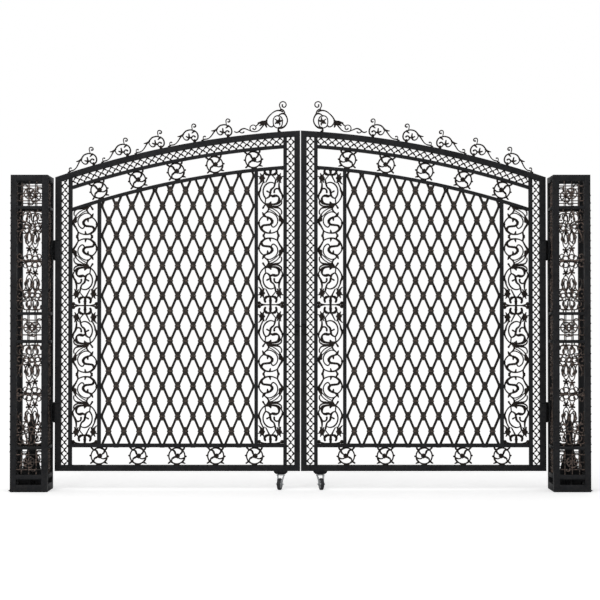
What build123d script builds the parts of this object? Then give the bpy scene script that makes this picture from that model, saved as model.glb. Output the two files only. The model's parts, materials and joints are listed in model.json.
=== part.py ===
from build123d import *
import math
import os

os.makedirs("parts", exist_ok=True)

# ---------------------------------------------------------------- driving sizes, mm
clear_opening = 3406        # between the inner faces of the two posts
post_size = 250             # square post, over its corner tubes
post_height = 2136
corner_tube = 40
post_bar = 20               # cross bars between the post's panels
post_top_bar = 40
post_base_rail = 48
post_slot = 38              # open slot above the base rail
post_slot_bar = 30
small_panel = 170           # height of a square post panel
post_rail_depth = 25
casting_thickness = 10
star_ring_radius = 36       # ring of the square castings, to the middle of its bar
star_ring_bar = 9
star_bar = 7
star_bar_offset = 50        # crossed bars from the middle of a square casting

leaf_set_back = 150         # post's front face to the leaf's front face
leaf_thickness = 40
hinge_gap = 26              # post to leaf
meeting_gap = 5.5           # between the two leaves
leaf_bottom = 127
bottom_rail_height = 40
frieze_height = 121
cross_rail_height = 25
stile_width = 40
band_width = 50             # upright bands of crossed bars
inner_stile_width = 25
scroll_panel_width = 173
upright_width = 24
inner_depth = 30            # inner stiles, cross rail and inner arch bars
arch_radius = 6205          # top of the arch rail
arch_rail_height = 38
arch_band_width = 53
arch_bar_height = 22        # both inner arch bars
arch_centre_shift = 314     # beyond the meeting line
arch_centre_height = -3743

diamonds_across = 10
diamond_half_height = 102.9
lattice_drop = 19           # lowest crossings, under the top of the cross rail
lattice_bar = 16
collar_width = 29
collar_height = 58
lattice_bar_depth = 14

wave_pitch = 50.8           # one crossing to the next along a band
inner_arm_widths = (10, 4)   # bars of the bands, from a crossing to its knob
outer_arm_widths = (4, 9)    # from a crossing to the stile
wave_shift = 2              # lowest crossing above the bottom rail
arch_wave_shift = 4         # the arch's crossings, towards the meeting line
knob_inset = 4.6            # knob's centre to the inner edge
knob_radius = 6.5
band_depth = 12

scroll_module_height = 471
scroll_module_count = 4

rosette_radius = 54.5       # middle line of the ring
rosette_count = 5
lower_rosette_start = 311   # from the meeting line to the first rosette
lower_rosette_pitch = 265.5
upper_rosette_start = 320
upper_rosette_pitch = 264.5

crest_count = 5
crest_pitch = 230
first_crest_foot = 495      # from the meeting line to the first small scroll's foot
large_crest_foot = 147.5

hinge_heights = (525, 1636)
hinge_height = 126
hinge_from_post = 13        # hinge axis to the post's inner face
hinge_behind_leaf = 12      # hinge axis to the leaf's back face
pin_radius = 6
pin_clearance = 0.05
pin_stand_out = 3
knuckle_radius = 12
knuckle_gap = 1
strap_thickness = 6
strap_inset = 3             # stile's edge to the plate behind it
hinge_cover_thickness = 3   # plate on the stile's front face

lock_height = 1092
lock_width = 36
lock_case_height = 71
lock_stand_out = 6

castor_from_meeting = 135
castor_plate_width = 94
castor_plate_foot = 66      # width where it meets the swivel
castor_plate_depth = 40
castor_plate_height = 20
swivel_gap = 1
swivel_radius = 24
wheel_radius = 40
wheel_width = 24
castor_trail = 28
axle_radius = 5
axle_clearance = 0.08
fork_thickness = 4
fork_gap = 3
fork_top_half = 20
fork_end = 10
axle_end = 3
pin_end = 2
tyre_round = 5
castor_turn = 166           # degrees, where the castors stand

core_width = 42             # ground anchor inside each post
core_height = 410
core_point = 95
core_rib = 8
core_rib_reach = 78
core_rib_height = 320
core_rib_edge = 70
base_plate_thickness = 6
base_plate_reach = 20       # tabs past the post's outer side
anchor_hole_radius = 6
anchor_pitch = 130

# ---------------------------------------------------------------- worked out from these
half_post = post_size / 2
middle = half_post + clear_opening / 2
leaf_start = half_post + hinge_gap
leaf_end = middle - meeting_gap / 2
leaf_front = -half_post + leaf_set_back
leaf_back = leaf_front + leaf_thickness
leaf_middle = (leaf_front + leaf_back) / 2
rail_top = leaf_bottom + bottom_rail_height
frieze_top = rail_top + frieze_height
cross_top = frieze_top + cross_rail_height
arch_x = middle + arch_centre_shift
band_radius = arch_radius - arch_rail_height
inner_radius = band_radius - arch_band_width
frieze_radius = inner_radius - arch_bar_height
lower_rail_radius = frieze_radius - frieze_height
field_radius = lower_rail_radius - arch_bar_height
inner_left = leaf_start + stile_width + band_width
inner_right = leaf_end - stile_width - band_width
frieze_left = inner_left + inner_stile_width
frieze_right = inner_right - inner_stile_width
upright_left = frieze_left + scroll_panel_width
upright_right = frieze_right - scroll_panel_width
field_left = upright_left + upright_width
field_right = upright_right - upright_width
hinge_x = half_post + hinge_from_post
hinge_y = leaf_back + hinge_behind_leaf


# ---------------------------------------------------------------- shaping helpers
def plate(sketch, thickness, middle_y):
    """Upright plate from a drawing of the gate's front, centred on a depth."""
    return extrude(Plane.XZ.offset(-(middle_y + thickness / 2)) * sketch, thickness)


def box_between(low, high):
    size = [high[axis] - low[axis] for axis in range(3)]
    return Pos(*low) * Box(*size, align=(Align.MIN, Align.MIN, Align.MIN))


def flat(left, bottom, right, top):
    """Rectangle on the drawing of the gate's front."""
    middle_point = ((left + right) / 2, (bottom + top) / 2)
    return Pos(*middle_point) * Rectangle(right - left, top - bottom)


def disc(radius):
    """Round region about the arch's centre."""
    return Pos(arch_x, arch_centre_height) * Circle(radius)


def under_arch(radius, left, bottom, right):
    """Region from a level line up to an arch of the given radius."""
    return flat(left, bottom, right, arch_centre_height + radius + 1) & disc(radius)


def arch_height(radius, x):
    return arch_centre_height + math.sqrt(radius**2 - (arch_x - x) ** 2)


def on_arch(radius, x):
    """Place on an arch, turned to stand square on it."""
    turn = math.asin((arch_x - x) / radius)
    return Pos(x, arch_height(radius, x)) * Rot(0, 0, math.degrees(turn))


def bar(points, *widths):
    """Flat tapered bar that follows a smooth line through the points."""
    centre = Spline(*points) if len(points) > 2 else Line(*points)
    steps = 2 * (len(points) - 1)
    left = []
    right = []
    for step in range(steps + 1):
        along = step / steps
        place = along * (len(widths) - 1)
        lower = min(int(place), max(len(widths) - 2, 0))
        width = widths[lower]
        if len(widths) > 1:
            width += (widths[lower + 1] - widths[lower]) * (place - lower)
        across = (centre % along).rotate(Axis.Z, 90) * (width / 2)
        left.append(centre @ along + across)
        right.append(centre @ along - across)
    edges = [Spline(*left), Line(left[-1], right[-1])]
    edges += [Spline(*right[::-1]), Line(right[0], left[0])]
    return make_face(edges)


def ring(x, y, middle_radius, width):
    circles = Circle(middle_radius + width / 2) - Circle(middle_radius - width / 2)
    return Pos(x, y) * circles


def flower(x, y, radius, petals):
    """Round boss with blunt petals about it."""
    blossom = [Circle(radius * 0.62)]
    for turn in range(petals):
        blossom.append(Rot(0, 0, 360 / petals * (turn + 0.5)) * Pos(radius * 0.72, 0) * Circle(radius * 0.3))
    return Pos(x, y) * (Sketch() + blossom)


def both_sides(name, shape):
    """Write a piece of the left side and its mirror image on the right."""
    mirrored = mirror(shape, about=Plane.YZ.offset(middle))
    export_step(shape, f"parts/left_{name}.step", write_pcurves=False)
    export_step(mirrored, f"parts/right_{name}.step", write_pcurves=False)


# ---------------------------------------------------------------- posts
def post_frame():
    """Four corner tubes welded on a base plate that has an anchor tab."""
    inner = half_post - corner_tube
    body = box_between((-half_post, -half_post, 0), (half_post, half_post, base_plate_thickness))
    tab = Pos(-half_post - base_plate_reach / 2, 0, base_plate_thickness / 2)
    tab_width = 2 * inner - corner_tube
    body += tab * Box(base_plate_reach, tab_width, base_plate_thickness)
    for side_x in (-half_post, inner):
        for side_y in (-half_post, inner):
            low = (side_x, side_y, base_plate_thickness)
            high = (side_x + corner_tube, side_y + corner_tube, post_height)
            body += box_between(low, high)
    for place in GridLocations(anchor_pitch, anchor_pitch, 2, 2):
        body -= place * Cylinder(anchor_hole_radius, 4 * base_plate_thickness)
    return body


def tall_casting(bottom, top):
    """Tall openwork casting, drawn for one quarter and mirrored twice."""
    half_width = half_post - corner_tube
    half = (top - bottom) / 2
    side = half_width + 3
    quarter = [
        bar([(0, 0), (44, 1), (side, 6)], 10, 8, 9),
        ring(0, 22, 18, 8),
        bar([(44, 2), (64, 7), (80, 20), (78, 36), (64, 43), (51, 34), (56, 24)], 7, 8, 7, 9),
        bar([(24, 24), (14, 46), (3, 68)], 7),
        Pos(0, 79) * Circle(7),
        bar([(0, 79), (0, 97)], 7, 11),
        bar([(0, 79), (18, 85)], 7, 11),
        bar([(0, 79), (11, 63)], 7, 11),
        bar([(0, 122), (9, 130), (12, 150), (10, 172), (2, 192)], 8, 8, 10),
        Pos(0, 197) * Circle(11),
        bar([(0, 192), (0, 212)], 14, 8),
        bar([(6, 96), (17, 116), (20, 142), (21, 166), (27, 190), (40, 208)], 7, 8, 10, 8),
        bar([(20, 172), (30, 164), (30, 150), (22, 146)], 8, 8, 10),
        bar([(42, 206), (56, 190), (65, 165), (67, 140), (58, 124), (46, 128), (50, 141)], 11, 9, 8, 10),
        bar([(84, 197), (62, 198), (44, 209), (38, 230), (48, 248), (66, 254), (78, 244), (76, 230),
             (66, 224)], 9, 10, 9, 9, 8, 10),
        ring(18, 232, 15, 8),
        bar([(0, 204), (6, 212), (12, 220)], 9),
        bar([(34, 240), (24, 258), (13, 276), (14, 298), (10, 314), (-2, 330), (-20, 333), (-36, 324),
             (-38, 308)], 9, 8, 11, 13, 8, 8, 10),
        bar([(0, 246), (0, 272)], 8),
        bar([(20, 262), (44, 268), (62, 284), (60, 306), (46, 312), (40, 300)], 8, 10, 8, 9),
        bar([(side, 272), (66, 270)], 9),
        bar([(38, 322), (56, 330), (side, 322)], 9, 8),
        bar([(0, 330), (0, half + 3)], 10),
        bar([(56, 330), (58, half + 3)], 9),
    ]
    drawing = Sketch() + quarter
    drawing += mirror(drawing, about=Plane.YZ)
    drawing += mirror(drawing, about=Plane.XZ)
    window = Rectangle(2 * half_width, 2 * half)
    return Pos(0, (top + bottom) / 2) * (drawing & window)


def square_casting(bottom):
    """Square casting: a ringed star between thin crossed bars."""
    half = small_panel / 2
    drawing = [ring(0, 0, star_ring_radius, star_ring_bar), flower(0, 0, star_ring_radius / 2, 8)]
    for turn in range(0, 360, 45):
        drawing.append(Rot(0, 0, turn) * bar([(8, 0), (star_ring_radius, 0)], 8, 6))
        drawing.append(Rot(0, 0, turn) * Pos(star_ring_radius - 9, 0) * Circle(5))
    for offset in (-star_bar_offset, star_bar_offset):
        drawing.append(Pos(offset, 0) * Rectangle(star_bar, small_panel))
        drawing.append(Pos(0, offset) * Rectangle(small_panel, star_bar))
    for turn in range(0, 360, 90):
        drawing.append(Rot(0, 0, turn) * bar([(star_ring_radius, 0), (half, 0)], star_bar))
        curl = bar([(star_bar_offset, star_bar_offset), (60, 32), (56, 18), (44, 16)], 8, 8, 9)
        drawing.append(Rot(0, 0, turn) * curl)
    return Pos(0, bottom + half) * (Sketch() + drawing)


def post_panel():
    """One openwork face of a post: cross bars with castings between them."""
    half_width = half_post - corner_tube
    bottom = base_plate_thickness
    rails = [(bottom, post_base_rail)]
    level = post_base_rail + post_slot
    rails.append((level, level + post_slot_bar))
    level += post_slot_bar
    castings = [square_casting(level)]
    level += small_panel
    tall = (post_height - post_top_bar - level - 2 * small_panel - 4 * post_bar) / 2
    for _ in range(2):
        rails.append((level, level + post_bar))
        castings.append(tall_casting(level + post_bar, level + post_bar + tall))
        level += post_bar + tall
        rails.append((level, level + post_bar))
        castings.append(square_casting(level + post_bar))
        level += post_bar + small_panel
    rails.append((level, post_height))
    bars = Sketch() + [flat(-half_width, low, half_width, high) for low, high in rails]
    depth = half_post - post_rail_depth / 2
    return plate(bars, post_rail_depth, -depth) + plate(Sketch() + castings, casting_thickness, -depth)


def ground_anchor():
    """Pointed core tube with four ribs, standing on the base plate."""
    half = core_width / 2
    base = base_plate_thickness
    point = core_height + core_point
    side = Polyline((-half, base), (half, base), (half, core_height), (half / 2, point),
                    (-half / 4, point), (-half, core_height), close=True)
    core = plate(make_face(side), core_width, 0)
    for turn in range(4):
        rib = Polyline((half, base), (core_rib_reach, base), (core_rib_reach, base + core_rib_edge),
                       (half, core_rib_height), close=True)
        core += Rot(0, 0, 90 * turn) * plate(make_face(rib), core_rib, 0)
    return core


def hinge_brackets():
    """Plates on the post with the outer knuckles and the fixed pins."""
    parts = []
    reach = knuckle_radius + 3 * knuckle_gap
    half = hinge_height / 2
    third = hinge_height / 6
    for height in hinge_heights:
        low = (half_post, leaf_front, height - half)
        high = (half_post + strap_thickness, half_post, height + half)
        piece = box_between(low, high)
        piece += Pos(hinge_x, hinge_y, height) * Cylinder(knuckle_radius, hinge_height)
        gap_low = (half_post - 1, hinge_y - reach, height - third - knuckle_gap)
        gap_high = (hinge_x + reach, hinge_y + reach, height + third + knuckle_gap)
        piece -= box_between(gap_low, gap_high)
        piece += Pos(hinge_x, hinge_y, height) * Cylinder(pin_radius, hinge_height + 2 * pin_stand_out)
        parts.append(piece)
    return Compound(children=parts)


# ---------------------------------------------------------------- leaf frame
def straight_arm(start, end, start_width, end_width):
    """Straight bar whose width changes evenly from one end to the other."""
    start, end = Vector(*start), Vector(*end)
    direction = (end - start).normalized()
    across = Vector(-direction.Y, direction.X) / 2
    corners = [start + across * start_width, end + across * end_width]
    corners += [end - across * end_width, start - across * start_width]
    return make_face(Polyline(*corners, close=True))


def wave_link():
    """Two crossing bars: a knob at the inner edge, on the left, and the stile on the right."""
    half = wave_pitch / 2
    inner = knob_inset - band_width / 2
    arms = [straight_arm((0, 0), (inner, -half), *inner_arm_widths)]
    arms.append(straight_arm((0, 0), (band_width / 2 + 1, -half), *outer_arm_widths))
    knob = Pos(inner, -half) * Circle(knob_radius)
    return Sketch() + [*arms, *[mirror(arm, about=Plane.XZ) for arm in arms], knob]


def circle_bands():
    """Crossed bars in the two upright bands and, between them, under the arch rail."""
    link = wave_link()
    pieces = []
    hinge_band = (leaf_start + stile_width, mirror(link, about=Plane.YZ))
    meeting_band = (leaf_end - stile_width - band_width, link)
    for left, part in (hinge_band, meeting_band):
        strip = under_arch(band_radius, left, rail_top, left + band_width)
        count = math.ceil((arch_height(band_radius, left + band_width) - rail_top) / wave_pitch)
        x = left + band_width / 2
        links = [Pos(x, rail_top + wave_shift + wave_pitch * n) * part for n in range(count + 1)]
        pieces.append(plate((Sketch() + links) & strip, band_depth, leaf_middle))
    radius = (band_radius + inner_radius) / 2
    start = math.asin((arch_x - inner_right) / radius)
    finish = math.asin((arch_x - inner_left) / radius)
    count = round((finish - start) * radius / wave_pitch)
    turn = math.degrees(finish - start) / count
    shift = math.degrees(arch_wave_shift / radius)
    centre = Pos(arch_x, arch_centre_height)
    angles = [math.degrees(start) + turn * (n + 0.5) - shift for n in range(count + 1)]
    links = [centre * Rot(0, 0, angle) * Pos(0, radius) * Rot(0, 0, 90) * link for angle in angles]
    strip = under_arch(band_radius, frieze_left, rail_top, frieze_right) - disc(inner_radius)
    pieces.append(plate((Sketch() + links) & strip, band_depth, leaf_middle))
    return Compound(children=pieces)


def lattice():
    """Diamond lattice: the field's outline less its openings."""
    pitch = (field_right - field_left) / diamonds_across
    half_w = pitch / 2
    half_h = diamond_half_height
    slope = half_h / half_w
    inset_w = lattice_bar / 2 * math.hypot(1, 1 / slope)
    inset_h = inset_w * slope
    clip_w = half_w - collar_width / 2
    clip_h = half_h - collar_height / 2
    side_z = (half_w - inset_w - clip_w) * slope
    side_x = (half_h - inset_h - clip_h) / slope
    corners = [(clip_w, -side_z), (clip_w, side_z), (side_x, clip_h), (-side_x, clip_h)]
    corners += [(-clip_w, side_z), (-clip_w, -side_z), (-side_x, -clip_h), (side_x, -clip_h)]
    hole = make_face(Polyline(*corners, close=True))
    outline = under_arch(field_radius, field_left, cross_top, field_right)
    first_row = cross_top - lattice_drop
    holes = []
    rows = int((outline.bounding_box().max.Y - first_row) / half_h) + 2
    for row in range(rows):
        for column in range(-1, diamonds_across + 1):
            x = field_left + pitch * (column + 0.5 * (row % 2) + 0.5)
            holes.append(Pos(x, first_row + half_h * row) * hole)
    return plate(outline - holes, lattice_bar_depth, leaf_middle)


# ---------------------------------------------------------------- ornament
def scroll_module():
    """Half module of the scroll panels, with the stile at its left."""
    edge = scroll_panel_width
    return Sketch() + [
        bar([(136, 341), (154, 357), (167, 385), (160, 414), (145, 435), (124, 451), (92, 457),
             (62, 452), (40, 440)], 9, 9, 15, 9, 8),
        bar([(92, 455), (88, 435)], 16, 6),
        bar([(40, 441), (23, 409), (8, 383), (8, 372), (17, 348), (24, 325)], 9, 12, 18, 7),
        bar([(19, 368), (22, 347), (25, 325)], 23, 16, 7),
        bar([(24, 330), (42, 308), (66, 292), (96, 277)], 7),
        bar([(24, 352), (45, 330), (65, 312), (92, 296)], 6),
        bar([(150, 430), (141, 407), (112, 401), (86, 396), (75, 378), (88, 357), (108, 348),
             (136, 341)], 17, 13, 14, 18, 12, 9),
        bar([(108, 370), (105, 350)], 8, 18),
        bar([(84, 398), (70, 416), (48, 402), (38, 368), (46, 343), (72, 319), (98, 311), (124, 322),
             (136, 341)], 9, 8, 8, 7, 8),
        bar([(122, 342), (134, 330), (142, 316)], 10, 17, 8),
        bar([(124, 320), (106, 304), (99, 290), (98, 275)], 8, 10, 14),
        bar([(82, 286), (98, 270), (120, 257)], 10, 30, 12),
        bar([(100, 285), (93, 264), (85, 243)], 14, 32, 9),
        bar([(13, 326), (12, 306), (22, 290), (38, 282), (58, 279), (92, 275)], 8, 9, 15, 8),
        bar([(93, 268), (65, 272), (34, 271), (14, 257), (11, 240)], 7, 8, 10, 8),
        bar([(88, 260), (60, 262), (34, 256), (17, 238), (5, 209), (9, 192), (22, 169), (28, 147),
             (28, 108)], 7, 8, 9, 15, 9),
        bar([(84, 256), (56, 257), (34, 247), (28, 228), (34, 207), (54, 200), (72, 204),
             (90, 195)], 7, 12, 19, 10, 19, 10),
        bar([(100, 271), (124, 257), (140, 244), (156, 222), (166, 196), (168, 183), (159, 165),
             (154, 143), (144, 122), (134, 102)], 13, 9, 9, 15, 9, 9),
        bar([(141, 97), (168, 121)], 10, 7),
        bar([(124, 259), (123, 240), (120, 219)], 8),
        bar([(122, 260), (131, 272), (139, 285)], 8, 12),
        bar([(120, 219), (134, 196), (138, 166), (129, 137), (108, 116), (85, 109),
             (62, 116)], 10, 9, 10, 7),
        bar([(120, 219), (105, 213), (94, 203), (90, 186), (83, 158), (65, 142), (57, 120), (49, 92),
             (36, 84)], 8, 13, 14, 10, 12, 9),
        bar([(28, 157), (44, 151), (57, 157), (62, 178)], 11, 10, 12),
        bar([(92, 180), (112, 169)], 9, 11),
        bar([(52, 92), (66, 72), (88, 52)], 7),
        bar([(120, 108), (104, 78), (93, 54)], 8, 9, 12),
        bar([(89, 58), (88, 36), (88, -2)], 12, 19, 12),
        bar([(88, 53), (64, 55), (48, 43), (50, 20)], 9, 18, 13),
        bar([(88, 53), (114, 54), (127, 41), (123, 20)], 9, 18, 13),
        bar([(0, 14), (30, 4), (88, 2), (144, 4), (edge, 14)], 13, 5, 5, 13),
        bar([(40, 440), (38, 456), (31, 474)], 10, 14),
        bar([(122, 450), (130, 462), (136, 474)], 9, 13),
        bar([(16, 112), (27, 80), (18, 47)], 6, 20, 6),
        bar([(43, 110), (31, 80), (42, 50)], 6, 20, 6),
        bar([(129, 112), (142, 80), (132, 47)], 6, 20, 6),
        bar([(160, 110), (147, 80), (158, 48)], 6, 20, 6),
        bar([(141, 80), (edge - 3, 68)], 12, 7),
        bar([(31, 80), (3, 68)], 12, 7),
        flower(29, 80, 21, 6),
        flower(145, 80, 21, 6),
        Pos(0, 374) * Circle(12),
        Pos(0, 200) * Circle(12),
        Pos(edge, 387) * Circle(12),
        Pos(edge, 184) * Circle(12),
        Pos(0, 12) * Circle(16),
        Pos(edge, 12) * Circle(16),
    ]


def scroll_panel(left, mirrored):
    """Modules stacked and mirrored in turn, cut to the panel's opening."""
    module = scroll_module()
    if mirrored:
        module = mirror(module, about=Plane.YZ.offset(scroll_panel_width / 2))
    stack = []
    for index in range(scroll_module_count):
        if index % 2 == 0:
            stack.append(Pos(left, cross_top + index * scroll_module_height) * module)
        else:
            turned = mirror(module, about=Plane.XZ)
            stack.append(Pos(left, cross_top + (index + 1) * scroll_module_height) * turned)
    window = under_arch(field_radius, left, cross_top, left + scroll_panel_width)
    panel = plate((Sketch() + stack) & window, casting_thickness, leaf_middle)
    return max(panel.solids(), key=lambda solid: solid.volume)      # without loose offcuts


def rosette():
    """Ring with barbs and knobs, and four curved arms to a flower."""
    tip = frieze_height / 2 + 2
    return Sketch() + [
        ring(-3, 1.5, rosette_radius, 9),
        bar([(1, 56), (19, 52), (35, 40)], 10, 13, 12),
        bar([(51, -9), (46, -25), (34, -39)], 9, 12, 11),
        bar([(-24, -49), (-38, -40), (-50, -27)], 9, 12, 9),
        bar([(-18, 58), (10, 58)], 7),
        bar([(-20, -57), (12, -57)], 9),
        bar([(-56, 58), (-48, 50), (-39, 42), (-29, 42), (-19, 33), (-13, 17), (-4, 6)], 11, 11, 13, 11),
        bar([(48, 60), (45, 49), (34, 38), (32, 27), (23, 17), (10, 8)], 12, 12, 12, 7),
        bar([(-60, -48), (-46, -37), (-37, -25), (-36, -18), (-25, -11), (-10, -2)], 10, 11, 9, 13, 11),
        bar([(36, -42), (53, -50)], 13, 7),
        bar([(50, -11), (37, -16), (21, -18), (8, -9)], 12, 9, 8, 9),
        Pos(-64, 4) * Circle(6.5),
        Pos(59, -2) * Circle(7),
        flower(1, 1, 18, 5),
        flat(-18, 53, 12, tip),
        flat(-18, -tip, 12, -50),
    ]


def lower_rosettes():
    design = rosette()
    height = (rail_top + frieze_top) / 2
    centres = [middle - lower_rosette_start - lower_rosette_pitch * n for n in range(rosette_count)]
    drawing = Sketch() + [Pos(x, height) * design for x in centres]
    window = flat(frieze_left, rail_top, frieze_right, frieze_top)
    return plate(drawing & window, casting_thickness, leaf_middle)


def upper_rosettes():
    design = rosette()
    radius = (frieze_radius + lower_rail_radius) / 2
    centres = [middle - upper_rosette_start - upper_rosette_pitch * n for n in range(rosette_count)]
    drawing = Sketch() + [on_arch(radius, x) * design for x in centres]
    window = under_arch(frieze_radius, frieze_left, rail_top, frieze_right) - disc(lower_rail_radius)
    return plate(drawing & window, casting_thickness, leaf_middle)


def crest_scroll():
    """Small cresting scroll; the foot of its loop is at the origin."""
    return Sketch() + [
        bar([(-183, 0), (-173, 4), (-163, 8), (-144, 8), (-130, 13), (-114, 25), (-100, 40), (-89, 52),
             (-77, 62), (-63, 75), (-46, 87), (-28, 90), (-8, 88), (8, 79), (22, 68), (29, 51),
             (29, 35), (23, 21), (12, 13), (1, 11)], 10, 7, 9, 10, 9, 10, 11),
        bar([(1, 15), (0, -5)], 18, 20),
        bar([(-170, 5), (-171, 18), (-167, 28), (-156, 27)], 7, 6, 9),
        bar([(-108, 59), (-92, 58), (-77, 61), (-67, 68)], 6, 11, 15, 11),
        bar([(-2, 86), (-2, 101), (-1, 115), (4, 124), (12, 126), (22, 121), (26, 112), (22, 105),
             (13, 105)], 6, 7, 8, 10),
        bar([(-8, 66), (1, 72), (12, 78)], 8, 12, 14),
        bar([(-73, 60), (-72, 47), (-66, 34), (-55, 25), (-43, 25), (-36, 32), (-31, 39)], 7, 7, 9, 13),
        bar([(-51, 49), (-40, 42), (-32, 38), (-12, 39)], 8, 13, 10),
        bar([(-30, 65), (-31, 38)], 9, 13),
        bar([(-2, 11), (-13, 21), (-17, 32), (-11, 42), (-2, 46), (9, 37)], 8, 9, 9, 12),
    ]


def large_crest():
    """Tall end scroll; the foot below its ring is at the origin."""
    return Sketch() + [
        bar([(-305, 2), (-292, -6), (-277, 0), (-261, 17), (-240, 25), (-213, 16), (-192, 6),
             (-165, -2), (-139, 9), (-118, 33), (-96, 62)], 8, 11, 8, 7, 9, 11),
        bar([(-272, 9), (-261, -6), (-249, -7), (-241, 1)], 8, 7, 10),
        bar([(-188, 5), (-199, 24), (-194, 41), (-176, 49), (-160, 42), (-158, 26), (-168, 17),
             (-178, 24)], 8, 7, 9),
        bar([(-162, 40), (-148, 50), (-136, 64)], 7, 11),
        bar([(-143, 62), (-122, 66), (-100, 70), (-83, 80)], 11, 25, 12),
        bar([(-131, 45), (-111, 57), (-89, 68)], 10, 24),
        bar([(-84, 34), (-90, 48), (-91, 66)], 9, 24),
        bar([(-90, 70), (-74, 102), (-52, 126), (-26, 144), (0, 149), (24, 142)], 11, 8, 12),
        bar([(-90, 72), (-76, 52), (-63, 39), (-48, 36), (-36, 48)], 12, 9, 10),
        bar([(35, 130), (51, 107), (58, 83), (50, 54), (30, 34), (5, 29)], 12, 9, 10, 18),
        bar([(4, 147), (18, 157), (31, 149), (37, 136), (37, 124)], 10, 9, 9, 14),
        bar([(38, 127), (16, 126), (3, 119), (-5, 108)], 14, 10, 8),
        bar([(16, 156), (8, 170), (3, 183), (8, 200), (26, 210), (46, 200), (49, 183), (37, 171),
             (24, 175), (23, 188)], 8, 8, 8, 10),
        bar([(0, 32), (-4, 20), (-4, 10), (3, -8)], 12, 13, 22),
        bar([(-8, 114), (-30, 104), (-40, 71), (-30, 38), (-8, 28)], 8, 8, 8),
        bar([(-8, 114), (14, 104), (24, 71), (14, 38), (-8, 28)], 8, 8, 8),
        bar([(4, 101), (3, 87), (-7, 73)], 8, 14, 6),
        bar([(26, 82), (13, 77), (-5, 72)], 8, 16, 6),
        bar([(5, 48), (4, 60), (-5, 71)], 8, 14, 6),
        bar([(-25, 60), (-14, 66), (-5, 71)], 10, 14, 6),
        bar([(-26, 89), (-15, 81), (-6, 73)], 8, 9, 6),
    ]


def crest():
    """Five small scrolls and the large end scroll along the arch rail."""
    feet = [(on_arch(arch_radius, middle - first_crest_foot - crest_pitch * n), crest_scroll())
            for n in range(crest_count)]
    x = middle - large_crest_foot
    feet.append((Pos(x, arch_height(arch_radius, x)), large_crest()))
    above = [place * design - disc(arch_radius) for place, design in feet]
    return Compound(children=[plate(drawing, casting_thickness, leaf_middle) for drawing in above])


# ---------------------------------------------------------------- hinges and lock
def hinge_straps():
    """Middle knuckles, with plates behind and before the hinge stile."""
    parts = []
    half = hinge_height / 2
    third = hinge_height / 6
    strap_back = leaf_back + strap_thickness
    for height in hinge_heights:
        piece = Pos(hinge_x, hinge_y, height) * Cylinder(knuckle_radius, 2 * third)
        plate_left = leaf_start + strap_inset
        piece += box_between((hinge_x, leaf_back, height - third), (plate_left, strap_back, height + third))
        low = (plate_left, leaf_back, height - half)
        piece += box_between(low, (leaf_start + stile_width, strap_back, height + half))
        cover_front = leaf_front - hinge_cover_thickness
        cover_high = (leaf_start + stile_width, leaf_front, height + half)
        cover = box_between((leaf_start, cover_front, height - half), cover_high)
        piece -= Pos(hinge_x, hinge_y, height) * Cylinder(pin_radius + pin_clearance, hinge_height)
        parts += [piece, cover]
    return Compound(children=parts)


def lock():
    """Cover plates on both faces of the meeting stile."""
    left = leaf_end - stile_width / 2 - lock_width / 2
    bottom = lock_height - lock_case_height / 2
    top = bottom + lock_case_height
    front = box_between((left, leaf_front - lock_stand_out, bottom), (left + lock_width, leaf_front, top))
    back = box_between((left, leaf_back, bottom), (left + lock_width, leaf_back + lock_stand_out, top))
    return Compound(children=[front, back])


# ---------------------------------------------------------------- castors
castor_x = middle - castor_from_meeting
fork_top = leaf_bottom - castor_plate_height - swivel_gap
fork_bottom = fork_top - fork_thickness


def castor_place():
    return Pos(castor_x, leaf_middle, 0) * Rot(0, 0, castor_turn)


def castor_mount():
    """Tapered plate under the bottom rail with the swivel's pin."""
    half_top = castor_plate_width / 2
    half_foot = castor_plate_foot / 2
    foot = leaf_bottom - castor_plate_height
    shoulder = leaf_bottom - castor_plate_height / 3
    outline = Polyline((-half_top, leaf_bottom), (half_top, leaf_bottom), (half_top, shoulder),
                       (half_foot, foot), (-half_foot, foot), (-half_top, shoulder), close=True)
    body = Pos(castor_x, 0, 0) * plate(make_face(outline), castor_plate_depth, leaf_middle)
    pin_bottom = fork_bottom - pin_end
    pin = Cylinder(axle_radius, foot - pin_bottom, align=(Align.CENTER, Align.CENTER, Align.MIN))
    return body + Pos(castor_x, leaf_middle, pin_bottom) * pin


def castor_fork():
    """Bent fork with its axle, around the swivel axis at the origin."""
    inside = wheel_width / 2 + fork_gap
    outside = inside + fork_thickness
    body = Pos(0, 0, fork_top - fork_thickness / 2) * Cylinder(swivel_radius, fork_thickness)
    body += box_between((-outside, -fork_top_half, fork_bottom), (outside, fork_top_half, fork_top))
    side = Polyline((-fork_top_half, fork_bottom), (fork_top_half, fork_bottom),
                    (castor_trail + fork_end, wheel_radius), (castor_trail, wheel_radius - fork_end),
                    (castor_trail - fork_end, wheel_radius), close=True)
    cheek = extrude(Plane.YZ * make_face(side), fork_thickness)
    body += Pos(inside, 0, 0) * cheek
    body += Pos(-outside, 0, 0) * cheek
    axle = Cylinder(axle_radius, 2 * (outside + axle_end))
    body += Pos(0, castor_trail, wheel_radius) * Rot(0, 90, 0) * axle
    body -= Pos(0, 0, fork_top) * Cylinder(axle_radius + axle_clearance, 4 * fork_thickness)
    return castor_place() * body


def castor_wheel():
    place = Pos(0, castor_trail, wheel_radius) * Rot(0, 90, 0)
    body = place * Cylinder(wheel_radius, wheel_width)
    body = fillet(body.edges().filter_by(GeomType.CIRCLE), tyre_round)
    body -= place * Cylinder(axle_radius + axle_clearance, 2 * wheel_width)
    return castor_place() * body


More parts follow.
